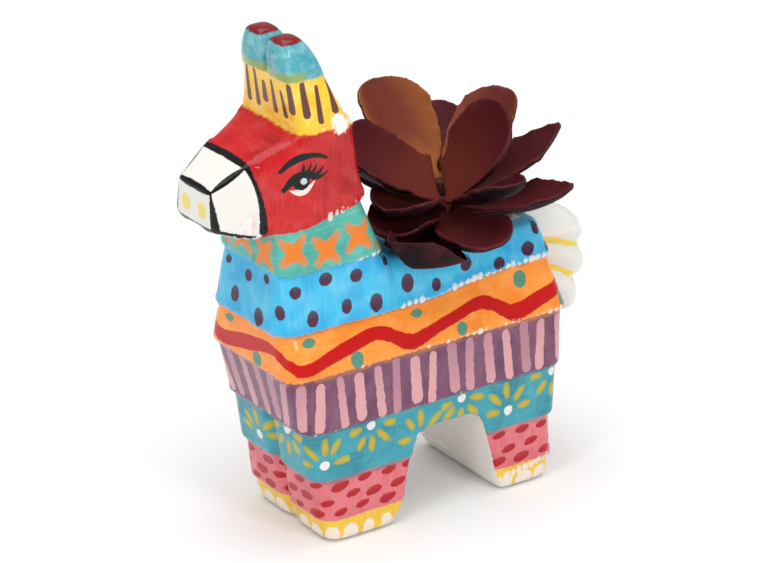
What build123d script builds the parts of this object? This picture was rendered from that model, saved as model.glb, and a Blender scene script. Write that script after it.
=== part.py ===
"""A glazed donkey planter in fringed bands, with an artificial rosette that lifts out of its back.

Millimetres. The donkey faces -Y, its left flank is towards +X, and its feet stand on Z = 0.
"""

import os
from math import cos, radians, sin, sqrt

from build123d import *

os.makedirs("parts", exist_ok=True)

# Heights of the fringed bands, from the hooves up
hoof_band = 7.5
shin_band = 12.5
thigh_band = 14.6
belly_band = 16.2
flank_band = 15.2
back_band = 9.8

# Each band's hem: how far it reaches ahead of and behind the middle, and its half width
hoof_front = 34.0
hoof_rear = 40.2
hoof_half = 18.9
shin_front = 35.8
shin_rear = 40.2
shin_half = 19.3
thigh_front = 38.5
thigh_rear = 40.8
thigh_half = 19.6
belly_front = 41.8
belly_rear = 42.6
belly_half = 20.2
flank_front = 46.8
flank_rear = 44.0
flank_half = 20.4
back_front = 47.6
back_rear = 40.8
back_half = 17.2
rim_rear = 37.6
rim_half = 14.6

# Hems stand proud of the band below, and the four legs meet in creases
fringe_step = 0.9
trunk_corner = 4.8
leg_corner = 4.2
leg_lap = 0.35
sole_chamfer = 1.1
shoulder_round = 2.6

# Arch between the front and the hind legs
arch_height = 27.0
arch_top_front = 6.0
arch_top_rear = 15.0
arch_foot_front = 11.7
arch_foot_rear = 22.2
arch_corner = 6.5

# Planting pocket in the back
pocket_middle = 14.5
pocket_length = 37.0
pocket_half = 10.0
pocket_corner = 6.0
pocket_floor = 5.0
lip_chamfer = 0.9

# Neck: the root that rises from the back, and the nape band above it
root_rear = 6.0
root_overlap = 8.0
collar_rise = 3.4
collar_front = 45.2
collar_rear = 14.4
collar_half = 15.4
nape_band = 17.0
nape_front = 46.6
nape_rear = 20.0
nape_half = 14.2
neck_corner = 4.4

# Head, in four sections from the nose to the poll
jaw_rise = 11.0
muzzle_length = 9.6
nose_lift = 2.4
nose_height = 11.2
nose_half_low = 9.6
nose_half_high = 7.6
snout_reach = 52.4
snout_height = 19.6
snout_half_low = 14.0
snout_half_high = 10.4
brow_reach = 37.8
brow_lift = 0.5
brow_height = 25.6
brow_half_low = 15.0
brow_half_high = 15.3
poll_reach = 19.0
poll_lift = 4.6
poll_height = 23.0
poll_half_low = 14.8
poll_half_high = 13.6
poll_lean = 9.0
head_corner = 2.4
nose_round = 1.4
nostril_apart = 7.4
nostril_lift = 5.0
nostril_radius = 2.6
nostril_depth = 0.7

# Ears, each a tapered root with a hemmed tuft on top
ear_sink = 2.6
ear_root = 15.6
ear_root_half = 15.4
ear_root_front = 38.2
ear_root_depth = 16.0
tuft_gap = 0.6
tuft_sink = 0.8
tuft_half = 11.2
tuft_front = 40.4
tuft_depth = 11.6
tuft_height = 10.4
tip_gap = 4.4
tip_half = 8.6
tip_front = 41.2
tip_depth = 7.2
ear_corner = 2.6
tip_corner = 2.0
tip_chamfer = 1.2
corner_limit_share = 0.45

# Tail of three curled locks
lock_pitch = 7.6
lock_root = 33.0
lock_reach = 26.6
lock_rise = 1.6
lock_drop = 5.6
lock_half = 6.6
lock_depth = 5.6
lock_reach_shares = (1.0, 1.02, 0.9)
lock_drop_shares = (1.0, 1.35, 1.85)
lock_bend_share = 0.58
lock_swell_shares = ((0.0, 0.75), (0.35, 0.92), (0.7, 1.0), (0.9, 0.78), (1.0, 0.3))

# Dry foam plug in the pocket
plug_gap = 0.3
plug_recess = 6.2

# Pick of the plant: it stands in the foam, its collar rests on the foam's top
pick_radius = 2.2
pick_gap = 0.25
pick_depth = 26.0
collar_radius = 5.4
collar_depth = 2.0
hub_radius = 2.8
hub_top_radius = 1.9
hub_start = 8.2
hub_length = 7.4

# Leaves: moulded cups, in whorls up the hub
leaf_length = 30.0
leaf_half = 9.0
leaf_thickness = 1.4
leaf_seat = 0.2
claw_half = 1.7
cup_radius = 14.0
curl_radius = 52.0
curl_share = 0.3
whorl_pitch = 2.9
waist_at_share = 0.2
outline_shares = ((0.52, 1.0), (0.84, 0.86))

# Each leaf: steps up the hub, azimuth, lean above level and roll in degrees; shares of the length, half
# width, cup radius, curl radius and claw; share of the half width at the waist, and of the hub's radius
# by which the claw is set in over the hub's top
leaf_shares = {
    "low_leaf_1": (0, 48, 2, 0, 1.1, 0.96, 1.0, 1.0, 1.0, 0.52, 0),
    "low_leaf_2": (0, 122, 8, 0, 1.0, 1.0, 1.0, 1.0, 1.0, 0.52, 0),
    "low_leaf_3": (0, 203, 11, 0, 1.12, 1.0, 1.0, 1.0, 1.0, 0.52, 0),
    "low_leaf_4": (0.1, 293, -5, 3, 0.83, 1.0, 0.76, 0.96, 0.9, 0.44, 0),
    "low_leaf_5": (0, 349, -10, -5, 1.0, 1.07, 0.84, 0.74, 0.9, 0.44, 0),
    "spread_leaf_1": (1, 9, 14, 0, 1.0, 0.86, 0.7, 1.0, 1.0, 0.52, 0),
    "spread_leaf_2": (1, 78, 14, 0, 1.17, 0.86, 0.93, 1.0, 1.0, 0.52, 0),
    "spread_leaf_3": (1, 148, 24, 0, 1.0, 1.0, 1.0, 1.0, 1.0, 0.52, 0),
    "spread_leaf_4": (1, 224, 16, 0, 1.0, 0.91, 0.93, 1.0, 1.0, 0.52, 0),
    "spread_leaf_5": (1, 295.5, 1.5, -1, 0.87, 1.03, 0.76, 0.76, 1.0, 0.52, 0),
    "raised_leaf_1": (2, 103, 33, 0, 1.03, 1.02, 1.0, 1.0, 1.1, 0.56, 0),
    "raised_leaf_2": (2, 192, 38, 0, 1.07, 1.3, 1.07, 1.0, 1.1, 0.56, 0),
    "heart_leaf_1": (2.6, 27, 42, -52, 1.0, 1.22, 1.0, 1.0, 2.6, 0.72, 0.36),
    "heart_leaf_2": (2.6, 262, 23, 34, 1.07, 1.1, 1.0, 1.0, 2.6, 0.7, 0.18),
}

# Levels up the donkey
ground = 0.0
shin_level = ground + hoof_band
thigh_level = shin_level + shin_band
belly_level = thigh_level + thigh_band
flank_level = belly_level + belly_band
back_level = flank_level + flank_band
rim_level = back_level + back_band
collar_level = rim_level + collar_rise
nape_level = collar_level + nape_band
jaw_level = collar_level + jaw_rise
crown_level = jaw_level + brow_lift + brow_height
ear_level = crown_level - ear_sink
tuft_level = ear_level + ear_root
tip_level = tuft_level + tuft_height
pocket_level = arch_height + pocket_floor
plug_level = rim_level - plug_recess
hub_level = plug_level + collar_depth + hub_start
nose_reach = snout_reach + muzzle_length

leg_hems = (
    (ground, hoof_front - sole_chamfer, hoof_rear - sole_chamfer, hoof_half - sole_chamfer),
    (ground + sole_chamfer, hoof_front, hoof_rear, hoof_half),
    (shin_level, shin_front, shin_rear, shin_half),
    (thigh_level, thigh_front, thigh_rear, thigh_half),
    (belly_level, belly_front, belly_rear, belly_half),
)
trunk_hems = (
    (belly_level, belly_front, belly_rear, belly_half),
    (flank_level, flank_front, flank_rear, flank_half),
    (back_level, back_front, back_rear, back_half),
)
head_sections = (
    (nose_reach, jaw_level + nose_lift, nose_height, nose_half_low, nose_half_high, 0),
    (snout_reach, jaw_level, snout_height, snout_half_low, snout_half_high, 0),
    (brow_reach, jaw_level + brow_lift, brow_height, brow_half_low, brow_half_high, 0),
    (poll_reach, jaw_level + poll_lift, poll_height, poll_half_low, poll_half_high, poll_lean),
)


with BuildPart() as donkey_pot:
    # Legs: two halves side by side in each band, so a crease runs up the chest and up the rump
    for lower, upper in zip(leg_hems, leg_hems[1:]):
        tuck = 0 if lower[0] == ground else fringe_step
        for side in (-1, 1):
            for (level, front, rear, half), inset in ((lower, 0), (upper, tuck)):
                width = half - inset + leg_lap
                with BuildSketch(Plane.XY.offset(level)):
                    with Locations((side * (width / 2 - leg_lap), (rear - front) / 2)):
                        RectangleRounded(width, front + rear - 2 * inset, leg_corner)
            loft(ruled=True)

    # Trunk bands above the legs, each tucked under the hem of the next
    for lower, upper in zip(trunk_hems, trunk_hems[1:]):
        for (level, front, rear, half), inset in ((lower, 0), (upper, fringe_step)):
            with BuildSketch(Plane.XY.offset(level)):
                with Locations((0, (rear - front) / 2)):
                    RectangleRounded(2 * (half - inset), front + rear - 2 * inset, trunk_corner)
        loft(ruled=True)

    # Back band behind the neck, with a rounded shoulder
    for level, rear, half in ((back_level, back_rear, back_half), (rim_level, rim_rear, rim_half)):
        front = root_rear + root_overlap
        with BuildSketch(Plane.XY.offset(level)):
            with Locations((0, (rear - front) / 2)):
                RectangleRounded(2 * half, front + rear, trunk_corner)
    loft(ruled=True)
    fillet(faces().sort_by(Axis.Z)[-1].edges(), shoulder_round)

    # Neck root and nape band
    for level, front, rear, half, corner in (
        (back_level, back_front, -root_rear, back_half, trunk_corner),
        (collar_level, collar_front, -collar_rear, collar_half, neck_corner),
    ):
        with BuildSketch(Plane.XY.offset(level)):
            with Locations((0, (rear - front) / 2)):
                RectangleRounded(2 * half, front + rear, corner)
    loft(ruled=True)
    for level, front, rear, half in (
        (collar_level, collar_front + fringe_step, fringe_step - collar_rear, collar_half + fringe_step),
        (nape_level, nape_front, -nape_rear, nape_half),
    ):
        with BuildSketch(Plane.XY.offset(level)):
            with Locations((0, (rear - front) / 2)):
                RectangleRounded(2 * half, front + rear, neck_corner)
    loft(ruled=True)

    # Head with a blunt nose, its back leaning forward
    for reach, low, height, half_low, half_high, lean in head_sections:
        tilt = radians(lean)
        with BuildSketch(Plane((0, -reach, low), x_dir=(1, 0, 0), z_dir=(0, -cos(tilt), -sin(tilt)))):
            with BuildLine():
                Polyline(
                    (-half_low, 0),
                    (half_low, 0),
                    (half_high, height),
                    (-half_high, height),
                    close=True,
                )
            make_face()
            fillet(vertices(), head_corner)
    loft(ruled=True)
    fillet(faces().sort_by(Axis.Y)[0].edges(), nose_round)
    for side in (-1, 1):
        nostril_level = jaw_level + nose_lift + nostril_lift
        nostril_middle = nostril_depth - nose_reach - nostril_radius
        with Locations((side * nostril_apart / 2, nostril_middle, nostril_level)):
            Sphere(nostril_radius, mode=Mode.SUBTRACT)

    # Ears: one tapered root, and a hemmed tuft for each ear
    for level, half, front, depth in (
        (ear_level, ear_root_half, ear_root_front, ear_root_depth),
        (tuft_level, tuft_half, tuft_front, tuft_depth),
    ):
        with BuildSketch(Plane.XY.offset(level)):
            with Locations((0, depth / 2 - front)):
                RectangleRounded(2 * half, depth, min(ear_corner, corner_limit_share * depth))
    loft(ruled=True)
    hem = fringe_step / 2
    for side in (-1, 1):
        for level, gap, half, front, depth, corner in (
            (tuft_level - tuft_sink, tuft_gap / 2, tuft_half + hem, tuft_front + hem,
             tuft_depth + 2 * hem, ear_corner),
            (tip_level - tip_chamfer, tip_gap / 2, tip_half, tip_front, tip_depth, tip_corner),
            (tip_level, tip_gap / 2 + tip_chamfer, tip_half - tip_chamfer, tip_front - tip_chamfer,
             tip_depth - 2 * tip_chamfer, tip_corner - tip_chamfer / 2),
        ):
            width = half - gap
            with BuildSketch(Plane.XY.offset(level)):
                with Locations((side * (half + gap) / 2, depth / 2 - front)):
                    RectangleRounded(width, depth, min(corner, corner_limit_share * min(width, depth)))
        loft(ruled=True)

    # Tail: three locks that leave the rump and curl down
    for row, (reach_share, drop_share) in enumerate(zip(lock_reach_shares, lock_drop_shares)):
        lock_level = back_level - row * lock_pitch
        with BuildLine(mode=Mode.PRIVATE) as lock_path:
            Spline(
                (0, lock_root, lock_level),
                (0, lock_root + lock_bend_share * lock_reach * reach_share, lock_level + lock_rise),
                (0, lock_root + lock_reach * reach_share, lock_level - lock_drop * drop_share),
            )
        for share, swell in lock_swell_shares:
            section_plane = Plane(lock_path.line @ share, x_dir=(1, 0, 0), z_dir=lock_path.line % share)
            with BuildSketch(section_plane):
                Ellipse(lock_half * swell, lock_depth * swell)
        loft()

    # Arch through the legs
    with BuildSketch(Plane.YZ):
        with BuildLine():
            Polyline(
                (-arch_foot_front, ground),
                (arch_foot_rear, ground),
                (arch_top_rear, arch_height),
                (-arch_top_front, arch_height),
                close=True,
            )
        make_face()
        fillet(vertices().group_by(Axis.Y)[-1], arch_corner)
    extrude(amount=2 * belly_half, both=True, mode=Mode.SUBTRACT)

    # Planting pocket with a chamfered lip
    with BuildSketch(Plane.XY.offset(pocket_level)):
        with Locations((0, pocket_middle)):
            RectangleRounded(2 * pocket_half, pocket_length, pocket_corner)
    extrude(amount=rim_level - pocket_level, mode=Mode.SUBTRACT)
    for level, grow in ((rim_level - lip_chamfer, 0), (rim_level, lip_chamfer)):
        with BuildSketch(Plane.XY.offset(level)):
            with Locations((0, pocket_middle)):
                RectangleRounded(2 * (pocket_half + grow), pocket_length + 2 * grow, pocket_corner + grow)
    loft(ruled=True, mode=Mode.SUBTRACT)
donkey_pot.part.label = "donkey_pot"
export_step(donkey_pot.part, "parts/donkey_pot.step")


with BuildPart() as foam_plug:
    with BuildSketch(Plane.XY.offset(pocket_level)):
        with Locations((0, pocket_middle)):
            RectangleRounded(2 * (pocket_half - plug_gap), pocket_length - 2 * plug_gap, pocket_corner)
    extrude(amount=plug_level - pocket_level)
    # Hole that takes the pick
    with BuildSketch(Plane.XY.offset(plug_level)):
        with Locations((0, pocket_middle)):
            Circle(pick_radius + pick_gap)
    extrude(amount=-(pick_depth + pick_gap), mode=Mode.SUBTRACT)
foam_plug.part.label = "foam_plug"
export_step(foam_plug.part, "parts/foam_plug.step")


with BuildPart() as stem_pick:
    with BuildSketch(Plane.XZ.offset(-pocket_middle)):
        with BuildLine():
            Polyline(
                (0, plug_level - pick_depth),
                (pick_radius, plug_level - pick_depth),
                (pick_radius, plug_level),
                (collar_radius, plug_level),
                (collar_radius, plug_level + collar_depth),
                (hub_radius, plug_level + collar_depth + collar_radius - hub_radius),
                (hub_radius, hub_level),
                (hub_top_radius, hub_level + hub_length),
                (0, hub_level + hub_length),
                close=True,
            )
        make_face()
    revolve(axis=Axis((0, pocket_middle, ground), (0, 0, 1)))
stem_pick.part.label = "stem_pick"
export_step(stem_pick.part, "parts/stem_pick.step")


hub_taper = (hub_radius - hub_top_radius) / hub_length
for name, (step, azimuth, lean, roll, *shares) in leaf_shares.items():
    length_share, half_share, cup_share, bend_share, claw_share, waist_share, inset_share = shares
    length = leaf_length * length_share
    half = leaf_half * half_share
    cup = cup_radius * cup_share
    curl = curl_radius * bend_share
    claw = claw_half * claw_share
    curl_at = curl_share * length

    # A half pipe that curls up along its length, trimmed to the leaf's outline
    with BuildPart() as blank:
        with BuildSketch(Plane.YZ.offset(curl_at)):
            with BuildLine():
                under = CenterArc((0, cup + leaf_thickness), cup + leaf_thickness, 180, 180)
                upper = CenterArc((0, cup + leaf_thickness), cup, 180, 180)
                Line(under @ 0, upper @ 0)
                Line(under @ 1, upper @ 1)
            make_face()
        revolve(axis=Axis((curl_at, 0, curl), (0, 1, 0)))
        with BuildSketch(Plane.XY.offset(-leaf_thickness)):
            with BuildLine():
                Spline(
                    (0, claw),
                    (waist_at_share * length, waist_share * half),
                    *[(along * length, across * half) for along, across in outline_shares],
                    (length, 0),
                    tangents=((1, 0), (0, -1)),
                )
                mirror(about=Plane.XZ)
                Line((0, claw), (0, -claw))
            make_face()
        extrude(amount=curl / 2, mode=Mode.INTERSECT)

    # Set the claw against the hub, turned round it, leaned up and rolled about its own length
    turn, pitch, twist = radians(azimuth), radians(lean), radians(roll)
    along_leaf = Vector(cos(pitch) * cos(turn), cos(pitch) * sin(turn), sin(pitch))
    off_leaf = Vector(-sin(pitch) * cos(turn), -sin(pitch) * sin(turn), cos(pitch))
    off_leaf = off_leaf * cos(twist) + off_leaf.cross(along_leaf) * sin(twist)
    rise = step * whorl_pitch
    root = hub_radius - hub_taper * rise + leaf_seat + leaf_thickness * max(sin(pitch), 0)
    root = root - hub_radius * inset_share
    sag = curl - sqrt(curl**2 - curl_at**2)
    seat = Vector(root * cos(turn), pocket_middle + root * sin(turn), hub_level + rise)
    with BuildPart() as leaf:
        with Locations(Plane(seat - off_leaf * sag, x_dir=along_leaf, z_dir=off_leaf)):
            add(blank.part)
    leaf.part.label = name
    export_step(leaf.part, f"parts/{name}.step")
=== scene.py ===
# %% [markdown]
# # A painted donkey planter with a succulent
# The planter is one slip-cast ceramic donkey: rows of cut-paper fringe are modelled in the clay, each row
# is brushed in its own colour, and a clear glaze covers it all. An artificial rosette stands in its back.
# The sized parts come from model.glb, and every piece made here stays where model.glb has it.

import math

import bmesh
import bpy
import numpy as np
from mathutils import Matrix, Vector


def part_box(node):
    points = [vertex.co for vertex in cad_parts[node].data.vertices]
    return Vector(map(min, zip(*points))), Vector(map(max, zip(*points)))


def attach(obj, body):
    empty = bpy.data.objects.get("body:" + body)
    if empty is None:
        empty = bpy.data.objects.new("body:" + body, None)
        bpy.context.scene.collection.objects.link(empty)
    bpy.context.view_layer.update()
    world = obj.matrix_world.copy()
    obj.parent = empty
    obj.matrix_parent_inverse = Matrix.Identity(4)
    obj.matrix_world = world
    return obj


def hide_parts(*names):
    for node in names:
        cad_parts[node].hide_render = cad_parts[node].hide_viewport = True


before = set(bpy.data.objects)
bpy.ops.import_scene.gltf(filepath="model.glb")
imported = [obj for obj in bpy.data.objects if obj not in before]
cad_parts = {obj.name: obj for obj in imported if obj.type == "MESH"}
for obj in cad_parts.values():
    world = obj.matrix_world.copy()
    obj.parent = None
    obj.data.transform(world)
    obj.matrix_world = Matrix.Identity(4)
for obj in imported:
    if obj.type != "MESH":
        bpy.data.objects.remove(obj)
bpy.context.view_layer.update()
MM = 0.001

# %% [markdown]
# ## The camera
# The donkey is seen from its front left, a little from above, through a long lens. The camera is set first,
# because every later choice is judged through it. Standard colour management keeps the glazes as mixed.

# %% Camera at the picture's angle
VIEW_AZIMUTH = math.radians(55.41)
VIEW_ELEVATION = math.radians(23.46)
VIEW_DISTANCE = 900 * MM
VIEW_TARGET = Vector((13.78, -14.35, 70.0)) * MM
VIEW_LENS = 163.95

camera = bpy.data.objects.new("camera", bpy.data.cameras.new("camera"))
bpy.context.scene.collection.objects.link(camera)
back_way = Vector((
    math.sin(VIEW_AZIMUTH) * math.cos(VIEW_ELEVATION),
    -math.cos(VIEW_AZIMUTH) * math.cos(VIEW_ELEVATION),
    math.sin(VIEW_ELEVATION),
))
camera.location = VIEW_TARGET + back_way * VIEW_DISTANCE
camera.rotation_euler = (-back_way).to_track_quat("-Z", "Y").to_euler()
camera.data.lens = VIEW_LENS
camera.data.sensor_width = 36.0
bpy.context.scene.camera = camera
bpy.context.scene.view_settings.view_transform = "Standard"
print("camera at", [round(value, 3) for value in camera.location])

# %% [markdown]
# ## The glazed body
# Slip casting and glaze round every edge off. The sized solid has crisp edges, so a copy of it is melted:
# its loose triangles are merged, a voxel remesh lays an even skin of small squares over it, and a few
# rounds of smoothing soften the edges as a coat of glaze does. An even skin is also easy to sculpt.


# %% Melt a sized solid into an even skin
def melted_copy(node, name, voxel, rounds):
    """A remeshed and smoothed copy of a node, as a new object at the origin."""
    shape = bmesh.new()
    shape.from_mesh(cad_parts[node].data)
    bmesh.ops.remove_doubles(shape, verts=shape.verts, dist=0.002 * MM)
    mesh = bpy.data.meshes.new(name)
    shape.to_mesh(mesh)
    shape.free()
    piece = bpy.data.objects.new(name, mesh)
    bpy.context.scene.collection.objects.link(piece)
    remesh = piece.modifiers.new("melt", "REMESH")
    remesh.mode = "VOXEL"
    remesh.voxel_size = voxel
    graph = bpy.context.evaluated_depsgraph_get()
    skin = bpy.data.meshes.new_from_object(piece.evaluated_get(graph))
    piece.modifiers.clear()
    piece.data = skin
    bpy.data.meshes.remove(mesh)
    skin.name = name
    smooth_skin(piece, rounds)
    skin.polygons.foreach_set("use_smooth", [True] * len(skin.polygons))
    return piece


def smooth_skin(piece, rounds, inside=None):
    """Soften the skin, a little in each round, everywhere or where a test of the place is true."""
    shape = bmesh.new()
    shape.from_mesh(piece.data)
    chosen = [vert for vert in shape.verts if inside is None or inside(vert.co / MM)]
    for _ in range(rounds):
        bmesh.ops.smooth_vert(
            shape, verts=chosen, factor=0.5, use_axis_x=True, use_axis_y=True, use_axis_z=True
        )
    shape.to_mesh(piece.data)
    shape.free()


BODY_VOXEL = 0.66 * MM
SOFT_FEET = 40
SOFT_BROW = 60
SOFT_CROWN = 30
donkey = melted_copy("donkey_pot", "glazed_donkey", BODY_VOXEL, 3)
smooth_skin(donkey, SOFT_FEET, lambda at: at.z < 4.6)
smooth_skin(donkey, SOFT_BROW, lambda at: -50.5 < at.y < -40.0 and at.z > 98.0)
smooth_skin(donkey, SOFT_CROWN, lambda at: -41.0 < at.y < -15.0 and 98.0 < at.z < 114.8)
print("glazed_donkey:", len(donkey.data.polygons), "squares")

# %% [markdown]
# ## Round the donkey
# The painter works along each row of fringe, so the pattern needs a coordinate that runs round the body.
# It is measured in millimetres: on the left flank it is simply the place along the body, and it goes on
# round the front corner, across the chest and back along the right flank. The outline of each slice is read
# from the skin itself. The chest takes up what the slices of one row differ by, so a motif stands as straight
# on one flank as on the other. The second coordinate is the height, kept from before the fringe is roughened,
# so the paint follows every tooth that is sculpted later.


# %% Outline of each slice
def positions(piece):
    """Vertex places of a piece in millimetres."""
    flat = np.empty(len(piece.data.vertices) * 3)
    piece.data.vertices.foreach_get("co", flat)
    return flat.reshape(-1, 3) / MM


def move_to(piece, places):
    """Write vertex places in millimetres back to a piece."""
    piece.data.vertices.foreach_set("co", (places * MM).ravel())
    piece.data.update()


ROWS = {"hoof": 0.0, "shin": 7.5, "thigh": 20.0, "belly": 34.6, "flank": 50.8, "back": 66.0, "nape": 79.2,
        "head": 97.0, "ear": 114.0, "tuft": 129.2, "top": 141.0}
SLICE = 1.0
TAIL_HALF = 8.0
CORNER_BODY = 4.6
CORNER_EAR = 2.6

rest = positions(donkey)
level = rest[:, 2].copy()
slice_of = np.clip((level / SLICE).astype(int), 0, None)
outline = np.zeros((slice_of.max() + 1, 3))
for row in range(len(outline)):
    ring = rest[np.abs(slice_of - row) <= 1]
    clear = ring[np.abs(ring[:, 0]) > TAIL_HALF]
    clear = clear if len(clear) else ring
    outline[row] = np.abs(ring[:, 0]).max(), clear[:, 1].min(), clear[:, 1].max()
print("outline at 40 mm:", outline[40].round(1))

# %% Coordinate round the outline
row_levels = np.array(list(ROWS.values()))
row_of = np.clip(np.digitize(level, row_levels) - 1, 0, len(row_levels) - 2)
row_middle = (row_levels[row_of] + row_levels[row_of + 1]) / 2
corner = np.where(level > ROWS["ear"], CORNER_EAR, CORNER_BODY)
quarter = corner * math.pi / 2


def outline_at(heights, column):
    """One column of the outline at each height."""
    return np.interp(heights, (np.arange(len(outline)) + 0.5) * SLICE, outline[:, column])


across = outline_at(level, 0) - corner
front = outline_at(level, 1) + corner
rear = outline_at(level, 2) - corner
row_half = outline_at(row_middle, 0) - corner
row_front = outline_at(row_middle, 1) + corner
chest_stretch = (row_half + front - row_front) / across


def half_way_round(width, place, start, stretch):
    """Distance from a flank round a corner to the middle of the end face, in mm."""
    beyond = np.maximum(place - start, 0)
    turn = np.arctan2(beyond, np.maximum(width - across, 1e-6))
    flat = (across - width) * stretch
    return np.where(width > across, corner * turn, quarter + flat) * (beyond > 0)


side = np.abs(rest[:, 0])
ahead = half_way_round(side, -rest[:, 1], -front, chest_stretch)
behind = half_way_round(side, rest[:, 1], rear, 1.0)
along = np.clip(rest[:, 1], front, rear) - ahead + behind
chest = 2 * (row_front - quarter - row_half)
around = np.where(rest[:, 0] >= 0, along, chest - along)
girth = 2 * (rear - front + 2 * quarter + 2 * across)
print("girth at mid height:", round(float(np.median(girth)), 1), "mm")

# %% [markdown]
# ## Paper fringe in clay
# Each row of fringe overhangs the row below. Its lower edge is cut into small teeth, about two millimetres
# apart and all a little different, and the glaze gathers on them as beads. Moving the skin's own vertices
# is enough: near a hem they go down by the tooth and out by the bead. The hem of the back also sags towards
# the chest.

# %% Teeth along the hems
# Each hem: its height, the drop of its teeth, the swell of its beads, the share of pale on the bead tops
# (worn glaze and painted highlight), and where along the body that pale begins.
HEMS = {
    "shin": (ROWS["shin"], 0.15, 0.05, 0.0, -99.0),
    "thigh": (ROWS["thigh"], 0.35, 0.10, 0.15, -99.0),
    "belly": (ROWS["belly"], 0.55, 0.16, 0.3, -99.0),
    "flank": (ROWS["flank"], 0.55, 0.24, 0.75, -34.0),
    "back": (ROWS["back"], 0.70, 0.46, 1.0, -18.0),
    "nape": (ROWS["nape"], 0.60, 0.42, 1.0, -36.0),
    "jaw": (90.6, 0.70, 0.60, 1.3, -38.0),
    "ear": (116.2, 0.50, 0.50, 1.3, -36.0),
}
JAW_BEND = -37.8
JAW_SLOPE = 0.2
TOOTH = 2.1
BACK_SAG = 3.0
SAG_START = 26.0
SAG_RUN = 30.0
SAG_REACH = 8.5
TUFT_FOOT = 128.6
TUFT_TALL = 11.4
TUFT_PUFF = 0.9


def scatter(cells, seed):
    """A steady random number from 0 to 1 for each whole number."""
    return np.mod(np.sin(cells * 12.9898 + seed * 78.233) * 43758.5453, 1.0)


def teeth(places, seed):
    """Heights of cut teeth along a hem, from 0 to 1, none alike."""
    cell = np.floor(places / TOOTH)
    part = places / TOOTH - cell
    tall = 0.35 + 0.65 * scatter(cell, seed)
    return tall * np.sin(np.pi * part) ** 0.8


def vertex_normals(piece):
    """Unit normals of a piece's vertices."""
    flat = np.empty(len(piece.data.vertices) * 3)
    piece.data.vertex_normals.foreach_get("vector", flat)
    return flat.reshape(-1, 3)


normal = vertex_normals(donkey)
outer = (np.abs(normal[:, 2]) < 0.9) & (np.abs(side) > 2.0)
shaped = rest.copy()
beads = np.zeros(len(rest))
for seed, (name, (hem, drop, bead, share, clear_to)) in enumerate(HEMS.items()):
    line = level - hem
    if name == "jaw":
        line = line - JAW_SLOPE * np.maximum(rest[:, 1] - JAW_BEND, 0) + 99.0 * (rest[:, 1] > -12.0)
    tall = 1.5 if name in ("jaw", "ear") else 1.0
    tooth = teeth(around, seed + 1.0)
    near = np.exp(-((line / 1.1) ** 2))
    lip = np.exp(-(((line / tall - 0.7) / 0.8) ** 2))
    shaped[:, 2] -= drop * tooth * near * outer
    shaped += normal * (bead * tooth * lip * outer)[:, None]
    begun = np.clip((rest[:, 1] - clear_to) / 14.0, 0.1, 1)
    beads = np.maximum(beads, share * begun * tooth * np.exp(-(((line / tall - 0.4) / 0.8) ** 2)))

sag_share = np.clip((SAG_START - rest[:, 1]) / SAG_RUN, 0, 1)
sag_share = sag_share * sag_share * (3 - 2 * sag_share)
sag_fall = np.clip(1 - np.abs(level - HEMS["back"][0]) / SAG_REACH, 0, 1)
sag_fall = sag_fall * sag_fall * (3 - 2 * sag_fall)
shaped[:, 2] -= BACK_SAG * sag_share * sag_fall * (normal[:, 2] < 0.6)
tuft_part = np.clip((level - TUFT_FOOT) / TUFT_TALL, 0, 1)
puff = TUFT_PUFF * np.sin(np.pi * tuft_part) * (rest[:, 1] < -20.0)
shaped += normal * puff[:, None]
move_to(donkey, shaped)
print("hems cut:", ", ".join(HEMS))

# %% Keep the coordinates on the skin
corners = np.empty(len(donkey.data.loops), dtype=np.int32)
donkey.data.loops.foreach_get("vertex_index", corners)
square = around[corners].reshape(-1, 4)
JOIN_JUMP = 60.0
split = np.ptp(square, axis=1) > JOIN_JUMP
lift = np.where(split[:, None] & (square < square.max(axis=1, keepdims=True) - JOIN_JUMP),
                girth[corners].reshape(-1, 4), 0.0)
rows_map = donkey.data.uv_layers.new(name="rows")
rows_map.data.foreach_set("uv", np.stack([(square + lift).ravel(), level[corners]], axis=1).ravel())
print("rows map:", len(corners), "corners,", int(split.sum()), "squares on the join behind the tail")


# %% [markdown]
# ## Where glaze runs thin and glints
# A liquid glaze draws back from sharp edges, so white clay shows on the beads of the hems, and the beads
# glint as well: the beads that were just sculpted are kept as one mask, which later paints them pale, partly
# as thin glaze and partly as painted highlight. A second mask marks the places that no brush reached, under
# the arch, inside the pocket and beneath the feet. The tail's locks are parted by grooves, which are painted
# later. The skin tells where they are: there a vertex lies lower than the middle of its neighbours.

# %% Worn and glinting beads, bare places and grooves
def keep(piece, name, values):
    """Store one number for each vertex under a name."""
    layer = piece.data.attributes.get(name) or piece.data.attributes.new(name, "FLOAT", "POINT")
    layer.data.foreach_set("value", np.asarray(values, dtype=np.float32))


def ridges(piece, places, normals):
    """How far each vertex stands out from its neighbours, in mm."""
    pairs = np.empty(len(piece.data.edges) * 2, dtype=np.int32)
    piece.data.edges.foreach_get("vertices", pairs)
    pairs = pairs.reshape(-1, 2)
    total = np.zeros_like(places)
    count = np.zeros(len(places))
    for here, there in ((0, 1), (1, 0)):
        np.add.at(total, pairs[:, here], places[pairs[:, there]])
        np.add.at(count, pairs[:, here], 1)
    return ((places - total / count[:, None]) * normals).sum(axis=1)


normal = vertex_normals(donkey)
# The pale bead tops: partly worn glaze, partly painted highlight.
keep(donkey, "worn_and_glint", beads * outer)

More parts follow.
